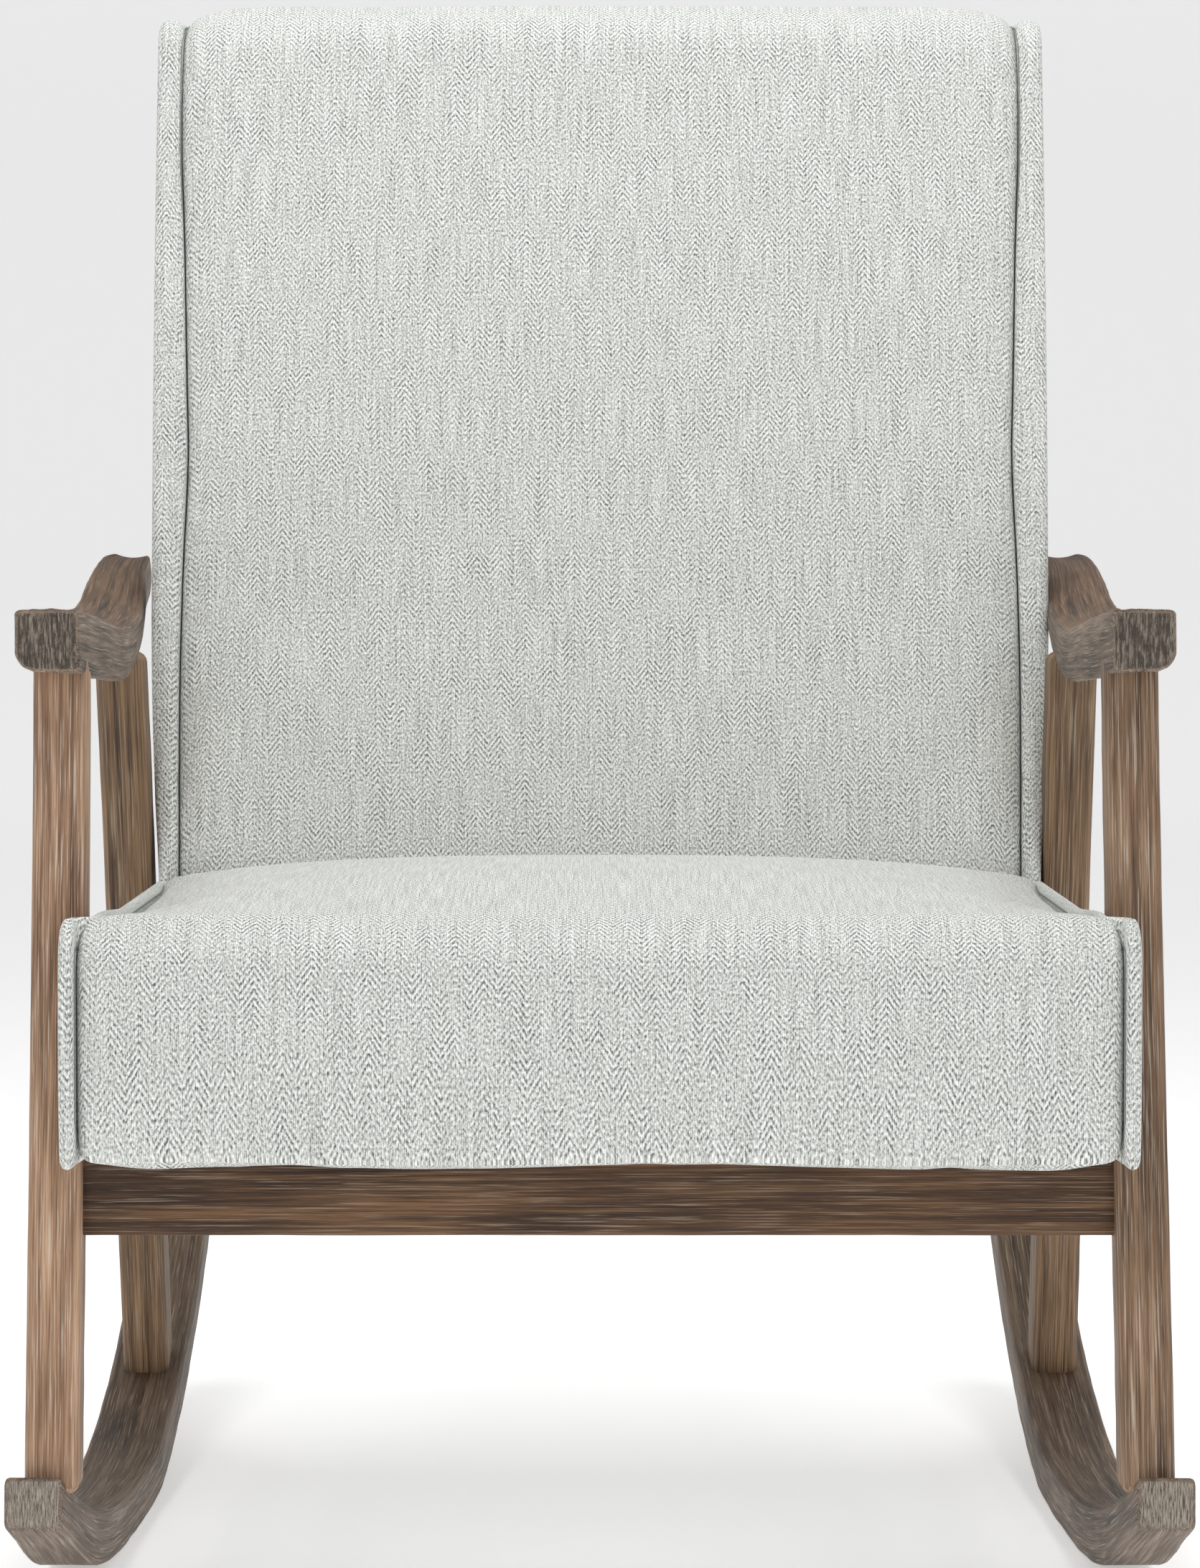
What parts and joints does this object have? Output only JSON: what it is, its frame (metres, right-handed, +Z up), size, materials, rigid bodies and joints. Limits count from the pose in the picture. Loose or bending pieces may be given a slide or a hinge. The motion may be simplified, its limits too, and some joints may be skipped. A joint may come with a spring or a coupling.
{
  "type": "rocking chair",
  "caption": "Upholstered rocking chair with bent timber rockers, raked posts and legs, dished arms, a padded seat and a tall reclined padded back.",
  "frame": {"origin": "on the floor, midway between the rocker tips and midway between the rockers", "axes": "+Z up, the sitter faces -Y, +X across the chair"},
  "size_m": [0.65, 0.88, 0.974],
  "materials": {
    "brushed_timber": "satin",
    "rocker_timber": "satin",
    "plain_timber": "matte",
    "zinc_steel": "satin",
    "spring_steel": "satin",
    "foam": "matte",
    "upholstery": "matte",
    "dust_cloth": "matte",
    "webbing": "matte"
  },
  "bodies": {
    "root": {"rocker_left": "rocker_timber", "rocker_right": "rocker_timber", "front_post_left": "brushed_timber", "front_post_right": "brushed_timber", "back_leg_left": "brushed_timber", "back_leg_right": "brushed_timber", "arm_left": "brushed_timber", "arm_right": "brushed_timber", "side_rail_left": "brushed_timber", "side_rail_right": "brushed_timber", "front_rail": "brushed_timber", "rear_rail": "brushed_timber", "rocker_dowels": "plain_timber", "arm_dowels": "plain_timber", "side_rail_dowels": "plain_timber", "front_rail_bolts": "zinc_steel", "rear_rail_bolts": "zinc_steel", "barrel_nuts": "zinc_steel", "seat_screws": "zinc_steel", "back_bolts": "zinc_steel", "seat_frame_front": "plain_timber", "seat_frame_rear": "plain_timber", "seat_frame_cross": "plain_timber", "seat_frame_left": "plain_timber", "seat_frame_right": "plain_timber", "seat_corner_blocks": "plain_timber", "seat_springs": "spring_steel", "seat_spring_clips": "spring_steel", "seat_foam": "foam", "seat_cover": "upholstery", "seat_side_panel_left": "upholstery", "seat_side_panel_right": "upholstery", "seat_rear_panel": "upholstery", "seat_dust_cover": "dust_cloth", "back_stile_left": "plain_timber", "back_stile_right": "plain_timber", "back_bottom_rail": "plain_timber", "back_top_rail": "plain_timber", "back_webbing": "webbing", "back_foam": "foam", "back_cover": "upholstery", "back_side_panel_left": "upholstery", "back_side_panel_right": "upholstery", "back_rear_panel": "upholstery"}
  },
  "joints": []
}
